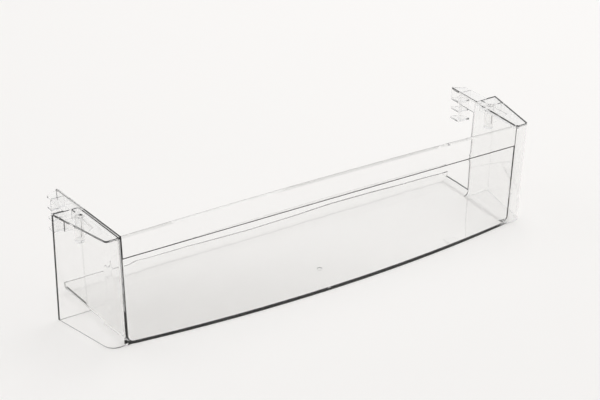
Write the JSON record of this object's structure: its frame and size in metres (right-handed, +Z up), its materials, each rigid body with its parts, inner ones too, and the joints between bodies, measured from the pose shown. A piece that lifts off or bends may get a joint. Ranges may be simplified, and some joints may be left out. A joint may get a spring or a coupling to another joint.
{
  "type": "fridge door shelf",
  "caption": "Clear moulded refrigerator door shelf with a bowed front wall, a low rear lip, hollow end boxes and combed arms that hang it on the door lining.",
  "frame": {"origin": "middle of the footprint, on the underside of the floor", "axes": "+X along the shelf to the right as seen from the room, +Y from the room to the door, +Z up"},
  "size_m": [0.4854, 0.123, 0.105],
  "materials": {
    "clear_plastic": "clear gloss"
  },
  "bodies": {
    "root": {"door_shelf": "clear_plastic"}
  },
  "joints": []
}
